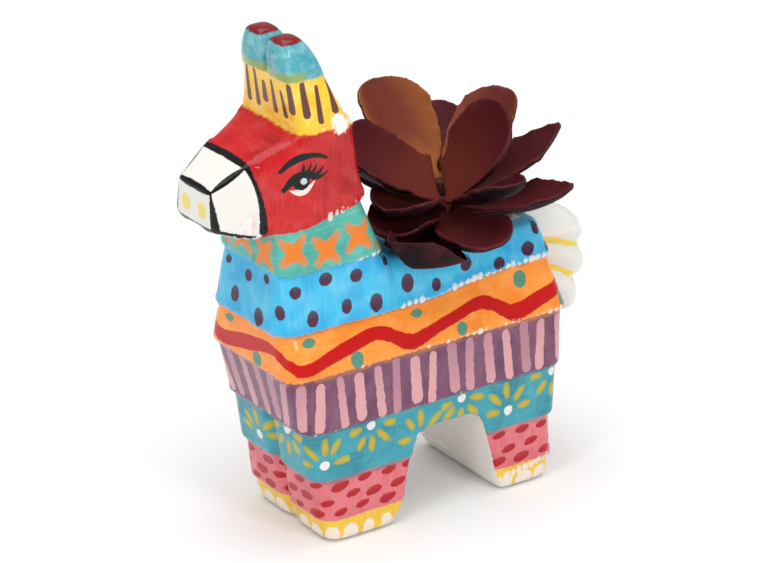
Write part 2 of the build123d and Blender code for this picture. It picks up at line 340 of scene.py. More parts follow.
under_arch = (rest[:, 1] > -13.5) & (rest[:, 1] < 24.0) & (level < 28.5) & (side < 18.2)
pocket_low, pocket_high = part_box("foam_plug")
in_pocket = (side < pocket_high.x / MM + 1.0) & (level > pocket_low.z / MM - 1.0)
in_pocket &= (rest[:, 1] > pocket_low.y / MM - 1.0) & (rest[:, 1] < pocket_high.y / MM + 1.0)
sole = level < 0.7
keep(donkey, "bare", np.where(under_arch | in_pocket | sole, 1.0, 0.0))
tail = (side < TAIL_HALF) & (level > 38.0) & (level < 76.0) & (rest[:, 1] > rear + corner + 0.5)
keep(donkey, "tail", np.where(tail, 1.0, 0.0))
hollow = np.clip(-ridges(donkey, shaped, normal) / 0.03, 0, 1)
keep(donkey, "groove", np.where(tail, hollow, 0.0))
print("bare vertices:", int((under_arch | in_pocket | sole).sum()), "tail:", int(tail.sum()))

# %% [markdown]
# ## Formulas as nodes
# The painted motifs are formulas: a dot is a distance, a wave is a sine. Shader nodes can hold them, and a
# small helper makes them readable: a Value is a socket that adds and multiplies like a number, and each
# step lays down one Math node.


# %% Shader values that work like numbers
class Value:
    """A socket in a node tree that can be used in sums."""

    def __init__(self, tree, socket):
        self.tree = tree
        self.socket = socket

    def step(self, operation, *others):
        node = self.tree.nodes.new("ShaderNodeMath")
        node.operation = operation
        for slot, item in zip(node.inputs, (self, *others)):
            feed(self.tree, slot, item)
        return Value(self.tree, node.outputs[0])

    def __add__(self, other):
        return self.step("ADD", other)

    def __sub__(self, other):
        return self.step("SUBTRACT", other)

    def __mul__(self, other):
        return self.step("MULTIPLY", other)

    def __truediv__(self, other):
        return self.step("DIVIDE", other)


def feed(tree, slot, item):
    """Link a Value to a socket, or set the socket to a plain number, vector or colour."""
    if isinstance(item, Value):
        tree.links.new(item.socket, slot)
    else:
        slot.default_value = item


def between(value, low, high):
    """A smooth step from 0 at low to 1 at high; low may be the larger."""
    node = value.tree.nodes.new("ShaderNodeMapRange")
    node.interpolation_type = "SMOOTHSTEP"
    for slot, item in zip(node.inputs, (value, low, high)):
        feed(value.tree, slot, item)
    return Value(value.tree, node.outputs[0])


def reach(*parts):
    """Length of a vector from its parts."""
    total = parts[0] * parts[0]
    for part in parts[1:]:
        total = total + part * part
    return total.step("SQRT")


def blend(tree, share, low, high):
    """Mix two colours by a share from 0 to 1."""
    node = tree.nodes.new("ShaderNodeMix")
    node.data_type = "RGBA"
    for slot, item in zip((node.inputs[0], node.inputs[6], node.inputs[7]), (share, low, high)):
        feed(tree, slot, item)
    return Value(tree, node.outputs[2])


# %% Node groups with named sockets
def new_group(name, inputs, outputs):
    """An empty shader group, its inputs as Values and a function that sets its outputs."""
    group = bpy.data.node_groups.new(name, "ShaderNodeTree")
    for way, sockets in (("INPUT", inputs), ("OUTPUT", outputs)):
        for label, kind in sockets.items():
            group.interface.new_socket(label, in_out=way, socket_type="NodeSocket" + kind)
    entry = group.nodes.new("NodeGroupInput")
    leave = group.nodes.new("NodeGroupOutput")
    given = {label: Value(group, entry.outputs[label]) for label in inputs}

    def give(label, value):
        feed(group, leave.inputs[label], value)

    return group, given, give


def place(tree, group, **items):
    """Set a group into a tree. Names are the sockets', with _ for a space. Returns its outputs by name."""
    node = tree.nodes.new("ShaderNodeGroup")
    node.node_tree = group
    for label, item in items.items():
        feed(tree, node.inputs[label.replace("_", " ")], item)
    return {socket.name: Value(tree, socket) for socket in node.outputs}


def chance(value):
    """Three steady random numbers for a whole number."""
    node = value.tree.nodes.new("ShaderNodeTexWhiteNoise")
    node.noise_dimensions = "1D"
    feed(value.tree, node.inputs["W"], value)
    parts = value.tree.nodes.new("ShaderNodeSeparateColor")
    value.tree.links.new(node.outputs["Color"], parts.inputs[0])
    return [Value(value.tree, socket) for socket in parts.outputs]


print("formula helpers ready")

# %% [markdown]
# ## Brush motifs
# Every row has its own traditional motif. Each is a group that cuts the row into cells, shakes the cell's
# centre and size a little, as a hand does, and puts out a mask that is 1 inside the motif.

# %% Dots and ovals in a row
dot_row, given, give = new_group(
    "dot_row",
    {label: "Float" for label in
     ("Around", "Height", "Pitch", "Start", "Line", "Zigzag", "Radius", "Tall", "Tilt", "Loose")},
    {"Mask": "Float", "Fade": "Float"},
)
cell = ((given["Around"] - given["Start"]) / given["Pitch"]).step("ROUND")
shake = chance(cell + given["Start"])
odd = cell.step("FLOORED_MODULO", 2.0) - 0.5
aside = given["Around"] - cell * given["Pitch"] - given["Start"] - (shake[0] - 0.5) * given["Loose"]
above = given["Height"] - given["Line"] - odd * given["Zigzag"] - (shake[1] - 0.5) * given["Loose"]
above = above - aside * given["Tilt"]
size = given["Radius"] * (shake[2] * 0.45 + 0.78)
far = reach(aside, above / given["Tall"])
give("Mask", between(far - size, 0.14, -0.14))
give("Fade", between(above / given["Radius"], -0.2, 1.2))
print("dot_row:", len(dot_row.nodes), "nodes")

# %% Bars, arches and drops
bar_row, given, give = new_group(
    "bar_row",
    {label: "Float" for label in
     ("Around", "Height", "Pitch", "Start", "Top", "Bottom", "Half", "Lean", "Point", "Loose")},
    {"Mask": "Float", "Fade": "Float"},
)
cell = ((given["Around"] - given["Start"]) / given["Pitch"]).step("ROUND")
shake = chance(cell + given["Start"])
top = given["Top"] - shake[0] * given["Loose"]
bottom = given["Bottom"] + (shake[1] - 0.3) * given["Loose"]
down = ((top - given["Height"]) / (top - bottom)).step("MAXIMUM", 0.0).step("MINIMUM", 1.0)
slant = (shake[2] - 0.35) * given["Lean"]
aside = given["Around"] - cell * given["Pitch"] - given["Start"] - slant * down
half = given["Half"] * (shake[1] * 0.5 + 0.75) * (given["Point"] * (down - 1.0) + 1.0)
over = (given["Height"] - top + half).step("MAXIMUM", bottom + half - given["Height"]).step("MAXIMUM", 0.0)
give("Mask", between(reach(aside, over) - half, 0.12, -0.12))
give("Fade", between(shake[0] + down * 0.4, 0.1, 1.1))
print("bar_row:", len(bar_row.nodes), "nodes")

# %% Crosses
cross_row, given, give = new_group(
    "cross_row",
    {label: "Float" for label in ("Around", "Height", "Pitch", "Start", "Line", "Arm", "Half", "Loose")},
    {"Mask": "Float"},
)
cell = ((given["Around"] - given["Start"]) / given["Pitch"]).step("ROUND")
shake = chance(cell + given["Start"])
aside = given["Around"] - cell * given["Pitch"] - given["Start"]
above = given["Height"] - given["Line"] - (shake[1] - 0.5) * given["Loose"]
masks = []
for lean in (1.0, -1.0):
    run = (aside + above * lean * 1.1) * 0.7
    off = (above - aside * lean) * 0.7 - (shake[0] - 0.5) * 0.8
    half = given["Half"] * (((run / given["Arm"]).step("ABSOLUTE")) * -0.5 + 1.15)
    past = (run.step("ABSOLUTE") - given["Arm"]).step("MAXIMUM", 0.0)
    fade = between(run.step("ABSOLUTE") / given["Arm"], 1.25, 0.35)
    masks.append(between(reach(past, off) - half, 0.2, -0.2) * (fade * 0.45 + 0.55))
give("Mask", masks[0].step("MAXIMUM", masks[1]))
print("cross_row:", len(cross_row.nodes), "nodes")

# %% Wave
wave_row, given, give = new_group(
    "wave_row",
    {label: "Float" for label in ("Around", "Height", "Length", "Start", "Line", "Rise", "Half")},
    {"Mask": "Float"},
)
turn = (given["Around"] - given["Start"]) / given["Length"] * (2 * math.pi)
swing = (turn - turn.step("SINE") * 0.5).step("SINE")
off = (given["Height"] - given["Line"] - swing * given["Rise"]).step("ABSOLUTE")
half = given["Half"] * ((turn * 0.73).step("SINE") * 0.16 + 1.0)
give("Mask", between(off - half, 0.2, -0.2))
print("wave_row:", len(wave_row.nodes), "nodes")

# %% Sprays of petals round a dot
spray_row, given, give = new_group(
    "spray_row",
    {label: "Float" for label in
     ("Around", "Height", "Pitch", "Start", "Line", "Zigzag", "Dot", "Petal", "Half", "Fan", "Loose")},
    {"Dots": "Float", "Petals": "Float", "Heart": "Float"},
)
cell = ((given["Around"] - given["Start"]) / given["Pitch"]).step("ROUND")
shake = chance(cell + given["Start"])
odd = cell.step("FLOORED_MODULO", 2.0) * 2.0 - 1.0
aside = given["Around"] - cell * given["Pitch"] - given["Start"] - (shake[0] - 0.5) * given["Loose"]
above = (given["Height"] - given["Line"] - odd * given["Zigzag"]) * odd * -1.0
far = reach(aside, above)
give("Dots", between(far - given["Dot"], 0.14, -0.14))
angle = aside.step("ARCTAN2", above)
petal = (angle / given["Fan"]).step("ROUND").step("MINIMUM", 2.0).step("MAXIMUM", -2.0)
wobble = chance(petal + cell * 7.0)
turn = angle - petal * given["Fan"] - (wobble[0] - 0.5) * 0.25
run = far * turn.step("COSINE") - given["Petal"] * (wobble[1] * 0.4 + 2.1)
off = far * turn.step("SINE")
shape = reach(run / (given["Petal"] * (wobble[2] * 0.35 + 0.85)), off / given["Half"])
give("Petals", between(shape, 1.1, 0.9))
give("Heart", between(shape, 0.95, 0.2))
print("spray_row:", len(spray_row.nodes), "nodes")

# %% [markdown]
# ## Brush strokes
# The muzzle is outlined and the eye is drawn with single strokes of a loaded brush. A stroke is the distance
# to a line in space that may bow sideways, with a width at each end and a swelling between, so the same
# group draws a brow, a lash and the edge of the nose.


# %% One stroke between two points
def vector_step(tree, operation, *items):
    """One vector operation; dot products and lengths come back as numbers."""
    node = tree.nodes.new("ShaderNodeVectorMath")
    node.operation = operation
    for slot, item in zip(node.inputs, items):
        feed(tree, slot, item)
    scalar = operation in ("DOT_PRODUCT", "LENGTH", "DISTANCE")
    return Value(tree, node.outputs["Value" if scalar else "Vector"])


def scaled(tree, vector, factor):
    """A vector times a number."""
    node = tree.nodes.new("ShaderNodeVectorMath")
    node.operation = "SCALE"
    feed(tree, node.inputs[0], vector)
    feed(tree, node.inputs["Scale"], factor)
    return Value(tree, node.outputs["Vector"])


stroke, given, give = new_group(
    "brush_stroke",
    {"Place": "Vector", "Start": "Vector", "End": "Vector", "Bow": "Vector",
     "Half start": "Float", "Half end": "Float", "Swell": "Float"},
    {"Mask": "Float"},
)
chord = vector_step(stroke, "SUBTRACT", given["End"], given["Start"])
local = vector_step(stroke, "SUBTRACT", given["Place"], given["Start"])
share = vector_step(stroke, "DOT_PRODUCT", local, chord) / vector_step(stroke, "DOT_PRODUCT", chord, chord)
share = share.step("MAXIMUM", 0.0).step("MINIMUM", 1.0)
belly = (share - share * share) * 4.0
line = vector_step(stroke, "ADD", scaled(stroke, chord, share), scaled(stroke, given["Bow"], belly))
half = given["Half start"] + (given["Half end"] - given["Half start"]) * share + given["Swell"] * belly
give("Mask", between(vector_step(stroke, "DISTANCE", local, line) - half, 0.13, -0.13))
print("brush_stroke:", len(stroke.nodes), "nodes")

# %% [markdown]
# ## Brushed washes
# The colours are thin washes over white clay. They streak along the brush, pool where the brush stopped and
# thin out where it ran dry. One group makes any wash from three tones, from a noise stretched along the
# stroke and a broad noise for the pools.


# %% A wash of three tones
def noise_of(tree, place_at, scale, detail=2.0, rough=0.5):
    """Smooth noise from 0 to 1 at a place given in millimetres."""
    node = tree.nodes.new("ShaderNodeTexNoise")
    feed(tree, node.inputs["Vector"], place_at)
    node.inputs["Scale"].default_value = scale
    node.inputs["Detail"].default_value = detail
    node.inputs["Roughness"].default_value = rough
    return Value(tree, node.outputs[0])


wash, given, give = new_group(
    "brushed_wash",
    {"Place": "Vector", "Streaks": "Vector", "Tone": "Color", "Thin": "Color", "Pooled": "Color",
     "Dry": "Float"},
    {"Color": "Color"},
)
pool = between(noise_of(wash, given["Place"], 0.11, 3.0), 0.40, 0.68)
streak = between(noise_of(wash, given["Streaks"], 1.0, 3.0, 0.65), 0.42, 0.78)
cloud = between(noise_of(wash, given["Place"], 0.21, 2.0), 0.45, 0.75)
tone = blend(wash, pool * 0.75, given["Tone"], given["Pooled"])
give("Color", blend(wash, (streak * 0.55 + cloud * 0.6) * given["Dry"], tone, given["Thin"]))
print("brushed_wash:", len(wash.nodes), "nodes")


# %% Colours of the paints
def paint(red, green, blue):
    """A paint as it looks on screen, from 0 to 255, as the linear colour that a shader takes."""
    parts = [value / 255 for value in (red, green, blue)]
    linear = [part / 12.92 if part <= 0.04045 else ((part + 0.055) / 1.055) ** 2.4 for part in parts]
    return (*linear, 1.0)


ROW_WASHES = {
    "hoof": (paint(246, 202, 64), paint(252, 224, 130), paint(238, 176, 28), 0.6),
    "shin": (paint(224, 118, 126), paint(236, 150, 152), paint(208, 94, 106), 0.5),
    "thigh": (paint(62, 156, 172), paint(104, 186, 196), paint(42, 126, 144), 0.5),
    "belly": (paint(124, 78, 104), paint(152, 106, 128), paint(98, 56, 84), 0.5),
    "flank": (paint(252, 152, 62), paint(254, 182, 104), paint(246, 130, 34), 0.6),
    "back": (paint(66, 190, 232), paint(146, 218, 238), paint(36, 164, 222), 0.5),
    "nape": (paint(84, 180, 164), paint(132, 206, 192), paint(56, 156, 142), 0.6),
}
RED = (paint(200, 28, 32), paint(218, 84, 84), paint(160, 14, 22), 0.5)
EAR_YELLOW = (paint(252, 202, 58), paint(255, 230, 140), paint(246, 180, 30), 0.6)
# The tufts' pale blotches are partly thin paint, partly painted highlight.
TUFT_TEAL_AND_SHEEN = (paint(80, 168, 180), paint(176, 218, 224), paint(42, 132, 146), 0.8)
TIP_RED = (paint(128, 30, 34), paint(150, 74, 70), paint(100, 18, 24), 0.6)
WHITE = paint(232, 229, 223)
BLACK = paint(16, 14, 15)
PLUM = paint(78, 38, 64)
GREEN = paint(52, 142, 126)
WAVE_RED = paint(196, 20, 20)
PINK = paint(220, 162, 166)
PINK_THIN = paint(178, 126, 142)
OLIVE = paint(168, 168, 42)
OLIVE_HEART = paint(204, 172, 50)
OVAL_RED = paint(176, 24, 34)
CREAM = paint(246, 232, 218)
CROSS_ORANGE = paint(232, 126, 38)
TAIL_YELLOW = paint(240, 214, 80)
print("paints mixed:", len(ROW_WASHES) + 4, "washes")

# %% [markdown]
# ## The painted glaze
# One material paints the whole donkey, from the feet up: each row's wash starts at its hem, its motif lies
# on top, and the head, ears and tail follow. Reading the height from the rows map keeps every border on
# its sculpted hem. A little noise moves the borders, because a brush never keeps quite to the line. Darker
# strips lie in patches just below most hems: partly colour that a wet brush dragged over the hem, partly
# painted shade where the hem overhangs the row below.

# %% Start the glaze and its coordinates
glaze = bpy.data.materials.new("painted_glaze")
glaze.use_nodes = True
tree = glaze.node_tree
shader = tree.nodes["Principled BSDF"]

coordinate = tree.nodes.new("ShaderNodeTexCoord")
spot = scaled(tree, Value(tree, coordinate.outputs["Object"]), 1 / MM)
split_spot = tree.nodes.new("ShaderNodeSeparateXYZ")
feed(tree, split_spot.inputs[0], spot)
spot_x, spot_y, spot_z = (Value(tree, socket) for socket in split_spot.outputs)

rows_node = tree.nodes.new("ShaderNodeUVMap")
rows_node.uv_map = "rows"
split_rows = tree.nodes.new("ShaderNodeSeparateXYZ")
tree.links.new(rows_node.outputs[0], split_rows.inputs[0])
round_way = Value(tree, split_rows.outputs[0])
height = Value(tree, split_rows.outputs[1])
shaky = noise_of(tree, spot, 0.55, 2.0) - 0.5
fine_shaky = noise_of(tree, spot, 1.6, 1.0) - 0.5
hand_round = round_way + shaky * 0.8
hand_height = height + shaky * 0.9 + fine_shaky * 0.35


def stored(tree, name):
    """A number kept on the vertices."""
    node = tree.nodes.new("ShaderNodeAttribute")
    node.attribute_name = name
    return Value(tree, node.outputs["Fac"])


def streak_place(tree, long_way, cross_way, length, width):
    """Coordinates for streaks of a length and width, in millimetres."""
    node = tree.nodes.new("ShaderNodeCombineXYZ")
    feed(tree, node.inputs[0], cross_way / width)
    feed(tree, node.inputs[1], long_way / length)
    return Value(tree, node.outputs[0])


down_streaks = streak_place(tree, height, round_way, 9.0, 0.7)
round_streaks = streak_place(tree, round_way, height, 14.0, 0.8)


def wash_of(tones, streaks):
    """Set a wash into the glaze."""
    tone, thin, pooled, dry = tones
    made = place(tree, wash, Place=spot, Streaks=streaks, Tone=tone, Thin=thin, Pooled=pooled, Dry=dry)
    return made["Color"]


print("glaze coordinates ready")

# %% Washes of the rows
colour = wash_of(ROW_WASHES["hoof"], down_streaks)
for name in list(ROW_WASHES)[1:]:
    streaks = down_streaks if name in ("belly", "shin", "back") else round_streaks
    border = between(hand_height, ROWS[name] - 0.35, ROWS[name] + 0.35)
    colour = blend(tree, border, colour, wash_of(ROW_WASHES[name], streaks))
print("rows washed:", ", ".join(ROW_WASHES))


# %% Paint dragged over the hems, with painted shade under them
def lay(mask, tone):
    """Brush a tone over what is there."""
    global colour
    colour = blend(tree, mask, colour, tone)


def row_mask(low, high):
    """1 between two heights."""
    return between(height, low - 0.3, low + 0.3) * between(height, high + 0.3, high - 0.3)


# Each strip below a hem: its depth, its strength and its tone, a mix of dragged paint and painted shade.
DRAGGED_AND_SHADED = {
    "thigh": (1.8, 0.75, paint(92, 118, 132)),
    "belly": (1.3, 0.65, paint(64, 84, 112)),
    "flank": (1.9, 0.85, paint(176, 110, 66)),
    "back": (1.5, 0.55, paint(96, 128, 140)),
    "nape": (1.4, 0.55, paint(40, 146, 196)),
}
patchy = between(noise_of(tree, spot, 0.14, 2.0), 0.36, 0.56)
for name, (depth, strength, tone) in DRAGGED_AND_SHADED.items():
    strip = between(hand_height, ROWS[name] - depth, ROWS[name] - depth * 0.5)
    lay(strip * between(hand_height, ROWS[name] + 0.25, ROWS[name] - 0.25) * patchy * strength, tone)
deeper = between(hand_height, 69.6, 66.6) + between(hand_height, 76.0, 78.8)
lay(deeper * row_mask(66.2, 79.0) * patchy * 0.6, ROW_WASHES["back"][2])
print("dragged hems:", ", ".join(DRAGGED_AND_SHADED))

# %% Motifs on the rows
arches = place(tree, bar_row, Around=hand_round, Height=height + fine_shaky * 0.4, Pitch=5.7, Start=-32.6,
               Top=5.4, Bottom=-4.0, Half=2.2, Lean=0.0, Point=0.0, Loose=0.7)
lay(arches["Mask"], CREAM)
for line, start in ((17.4, -30.4), (13.4, -34.2), (9.6, -30.6)):
    ovals = place(tree, dot_row, Around=hand_round, Height=hand_height, Pitch=7.4, Start=start, Line=line,
                  Zigzag=0.5, Radius=2.35, Tall=0.5, Tilt=0.12, Loose=1.2)
    lay(ovals["Mask"] * row_mask(7.9, 19.8) * (ovals["Fade"] * -0.3 + 1.0), OVAL_RED)
sprays = place(tree, spray_row, Around=hand_round, Height=height + shaky * 0.5, Pitch=14.75, Start=-35.2,
               Line=28.7, Zigzag=3.9, Dot=1.35, Petal=2.45, Half=1.1, Fan=0.72, Loose=2.4)
row = row_mask(20.3, 34.4)
lay(sprays["Petals"] * row * 0.92, blend(tree, sprays["Heart"], OLIVE, OLIVE_HEART))
lay(sprays["Dots"] * row, WHITE)
bars = place(tree, bar_row, Around=hand_round, Height=hand_height, Pitch=5.92, Start=-36.9,
             Top=50.4, Bottom=34.5, Half=1.45, Lean=2.8, Point=0.15, Loose=1.6)
bar_mask = bars["Mask"] * row_mask(33.2, 50.4)
lay(bar_mask, blend(tree, bars["Fade"], PINK_THIN, PINK))
wave = place(tree, wave_row, Around=hand_round, Height=height + shaky * 0.8, Length=33.6, Start=-30.2,
             Line=56.0, Rise=2.5, Half=1.95)
wave_mask = wave["Mask"] * row_mask(51.0, 66.0)
lay(wave_mask, WAVE_RED)
for line, start in ((61.6, -5.2), (53.2, 8.2)):
    dots = place(tree, dot_row, Around=hand_round, Height=height + fine_shaky * 0.4, Pitch=33.6, Start=start,
                 Line=line, Zigzag=0.0, Radius=1.75, Tall=1.1, Tilt=0.0, Loose=0.8)
    lay(dots["Mask"] * 0.92, GREEN)
for line, start in ((74.9, -41.9), (69.2, -36.6)):
    dots = place(tree, dot_row, Around=round_way + shaky * 0.4, Height=height + fine_shaky * 0.4, Pitch=9.7,
                 Start=start, Line=line, Zigzag=1.6, Radius=1.75, Tall=0.88, Tilt=0.0, Loose=1.7)
    lay(dots["Mask"] * row_mask(66.4, 79.0) * (dots["Fade"] * -0.12 + 1.0), PLUM)
crosses = place(tree, cross_row, Around=hand_round, Height=hand_height, Pitch=10.0, Start=-42.2, Line=84.8,
                Arm=5.0, Half=1.6, Loose=1.6)
lay(crosses["Mask"] * row_mask(79.4, 97.0), CROSS_ORANGE)
print("motifs laid:", len(tree.nodes), "nodes so far")

# %% [markdown]
# ## The head
# The head is red, its muzzle white. Strokes of black follow the edges of the muzzle's planes, and each eye
# has a brow, a heavy lid with lashes, a round iris and a white lower lid. Both sides are drawn at once by
# measuring from the middle.

# %% Red head and white muzzle
jaw = (spot_y - JAW_BEND).step("MAXIMUM", 0.0) * JAW_SLOPE + HEMS["jaw"][0]
head = between(spot_z - jaw + shaky * 1.0, -0.35, 0.35) * between(spot_y, -11.0, -12.0)
head_streaks = streak_place(tree, spot_z + spot_y * 0.3, spot_y, 9.0, 0.8)
colour = blend(tree, head, colour, wash_of(RED, head_streaks))
muzzle_line = (spot_z - 100.5).step("MAXIMUM", 0.0) * -0.2 - 50.3
muzzle = between(spot_y - muzzle_line + shaky * 0.5, 0.2, -0.2) * between(spot_z, 88.4, 88.8)
lay(muzzle, WHITE)
print("head and muzzle washed:", len(tree.nodes), "nodes")

# %% Strokes of the muzzle and the eye
mirrored = tree.nodes.new("ShaderNodeCombineXYZ")
for slot, part in zip(mirrored.inputs, (spot_x.step("ABSOLUTE"), spot_y, spot_z)):
    feed(tree, slot, part + fine_shaky * 0.3)
half_head = Value(tree, mirrored.outputs[0])

NOSE_HIGH = (7.3, -61.5, 103.2)
NOSE_LOW = (9.1, -61.3, 93.1)
SNOUT_HIGH = (10.0, -52.6, 109.4)
SNOUT_LOW = (13.6, -52.6, 90.9)
MUZZLE_STROKES = (
    ((0.0, -61.5, 103.3), NOSE_HIGH, (0, 0, 0), 0.95, 0.5, 0.25),
    (NOSE_HIGH, NOSE_LOW, (0, 0, 0), 0.25, 1.35, 0.1),
    (NOSE_HIGH, SNOUT_HIGH, (-0.2, 0, 0), 0.25, 0.35, 0.65),
    ((0.0, -52.3, 109.7), SNOUT_HIGH, (0, 0, 0), 1.05, 0.85, 0.1),
    (SNOUT_HIGH, (13.9, -50.0, 92.7), (0.4, 1.2, 0), 0.8, 1.3, -0.3),
    ((0.0, -61.2, 93.0), NOSE_LOW, (0, 0, 0), 0.8, 0.9, 0.0),
    (NOSE_LOW, SNOUT_LOW, (0, 0, -0.2), 0.8, 0.85, 0.0),
)
EYE_STROKES = (
    ((14.2, -44.7, 107.2), (14.8, -31.4, 108.8), (0.2, 0, 2.5), 1.05, 0.45, 0.25),
    ((14.1, -43.8, 102.3), (14.9, -34.6, 104.4), (0.2, 0, 2.0), 0.8, 0.7, 0.65),
    ((14.9, -39.4, 105.6), (15.0, -38.5, 108.2), (0, 0.4, 0), 0.85, 0.28, 0.0),
    ((14.9, -38.0, 105.6), (15.0, -36.4, 108.1), (0, 0.4, 0), 0.85, 0.28, 0.0),
    ((14.9, -36.7, 105.3), (15.0, -34.7, 107.5), (0, 0.4, 0), 0.85, 0.28, 0.0),
    ((14.9, -35.6, 104.9), (14.9, -32.5, 106.7), (0, 0.3, -0.4), 0.85, 0.28, 0.0),
    ((14.9, -35.4, 104.3), (14.8, -31.1, 105.1), (0, 0.2, -0.5), 0.75, 0.2, 0.0),
    ((14.8, -39.3, 103.7), (14.8, -38.9, 103.6), (0, 0, 0), 2.1, 2.1, 0.0),
)
LOWER_LID = ((14.5, -42.4, 101.9), (14.9, -35.4, 103.2), (0, 0, -1.6), 0.2, 0.25, 0.75)
# A painted highlight: a pale glint on each iris.
EYE_LIGHT = ((14.9, -38.5, 103.9), (14.9, -38.3, 103.8), (0, 0, 0), 0.85, 0.85, 0.0)


def draw(line, tone, strength=1.0):
    """Brush one stroke on both sides of the head."""
    start, end, bow, half_start, half_end, swell = line
    made = place(tree, stroke, Place=half_head, Start=start, End=end, Bow=bow,
                 Half_start=half_start, Half_end=half_end, Swell=swell)
    lay(made["Mask"] * strength, tone)


smear = between(vector_step(tree, "DISTANCE", half_head, (13.4, -52.0, 92.6)), 7.0, 1.0)
lay(smear * between(noise_of(tree, spot, 0.6, 3.0), 0.4, 0.7) * muzzle * 0.7, paint(226, 170, 166))
draw(LOWER_LID, paint(246, 226, 220))
for line in MUZZLE_STROKES + EYE_STROKES:
    draw(line, BLACK)
# The painted highlight on each iris.
draw(EYE_LIGHT, paint(196, 208, 218))
for side_of in (-1, 1):
    aside = spot_x - side_of * 3.8
    dimple = between(reach(aside, (spot_z - 97.6) * 0.9) + fine_shaky * 0.8, 2.5, 1.7)
    lay(dimple * between(spot_y, -60.2, -60.8) * 0.8, TAIL_YELLOW)
print("head drawn:", len(MUZZLE_STROKES) + len(EYE_STROKES) + 2, "strokes")

# %% Ears and tail
ear = between(height + shaky * 1.2, 115.6, 116.5) * between(spot_y, -41.9, -40.9)
lay(ear, wash_of(EAR_YELLOW, down_streaks))
drops = place(tree, bar_row, Around=round_way, Height=height + fine_shaky * 0.4, Pitch=4.1, Start=-36.6,
              Top=129.4, Bottom=118.8, Half=1.2, Lean=1.6, Point=0.45, Loose=3.4)
lay(drops["Mask"] * row_mask(116.6, 129.0) * 0.92, PLUM)
scuff = between(vector_step(tree, "DISTANCE", half_head, (14.6, -27.0, 117.0)) + shaky * 4.0, 3.0, 2.0)
lay(scuff, paint(246, 240, 230))
tuft = between(height + shaky * 1.2, 128.9, 129.5)
# Teal tufts whose pale blotches are partly thin paint and partly painted highlight.
lay(tuft, wash_of(TUFT_TEAL_AND_SHEEN, scaled(tree, spot, 0.45)))
rim = between(height, 132.0, 130.6) * between(spot_y + shaky * 3.0, -34.0, -37.0) * tuft
lay(rim * 0.85, paint(150, 168, 62))
tip = between(height + shaky * 1.4, 138.0, 138.5)
lay(tip, wash_of(TIP_RED, scaled(tree, spot, 0.6)))
lay(between(stored(tree, "tail"), 0.35, 0.65), WHITE)
lay(between(stored(tree, "groove") + fine_shaky * 0.3, 0.3, 0.7), TAIL_YELLOW)
print("ears and tail painted:", len(tree.nodes), "nodes")

# %% Bare clay, thin glaze and painted highlight on ridges, and the gloss
bare = between(stored(tree, "bare") + shaky * 0.5, 0.4, 0.6)
lay(bare, blend(tree, noise_of(tree, spot, 0.3), paint(226, 220, 212), paint(240, 236, 230)))
# Pale cream on the bead tops: partly thin glaze over white clay, partly painted highlight.
thin_glaze_and_glint = between(noise_of(tree, spot, 0.11, 2.0) + fine_shaky * 0.3, 0.34, 0.58)
lay(between(stored(tree, "worn_and_glint") * thin_glaze_and_glint, 0.16, 0.34) * 0.78, paint(246, 236, 226))
feed(tree, shader.inputs["Base Color"], colour)
gloss = noise_of(tree, spot, 0.35, 3.0) * 0.16 + 0.1
feed(tree, shader.inputs["Roughness"], gloss)
bump = tree.nodes.new("ShaderNodeBump")
bump.inputs["Distance"].default_value = 0.25 * MM
bump.inputs["Strength"].default_value = 0.35
thick_paint = (bar_mask + wave_mask * 0.6) * 0.8
ripples = noise_of(tree, spot, 0.45, 2.0) + noise_of(tree, down_streaks, 1.0) * 0.25
feed(tree, bump.inputs["Height"], ripples + thick_paint)
tree.links.new(bump.outputs[0], shader.inputs["Normal"])
shader.inputs["Specular IOR Level"].default_value = 0.22
shader.inputs["Coat Weight"].default_value = 0.12
shader.inputs["Coat Roughness"].default_value = 0.05
donkey.data.materials.append(glaze)
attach(donkey, "pot")
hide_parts("donkey_pot")
print("painted_glaze:", len(tree.nodes), "nodes")

# %% [markdown]
# ## The rosette's leaves
# The leaves are soft plastic, moulded in one piece each: thick, cupped and round at the rim. Melting each
# sized leaf at a fine voxel rounds its rim. Vertices near the rim are then moved to make it thin and wavy,
# and some tips are drawn in to a point. Five numbers are kept on each leaf for its colouring: how far along
# it a place is, how far across, whether it is on the inner face, how near the rim, and the leaf's own blush.

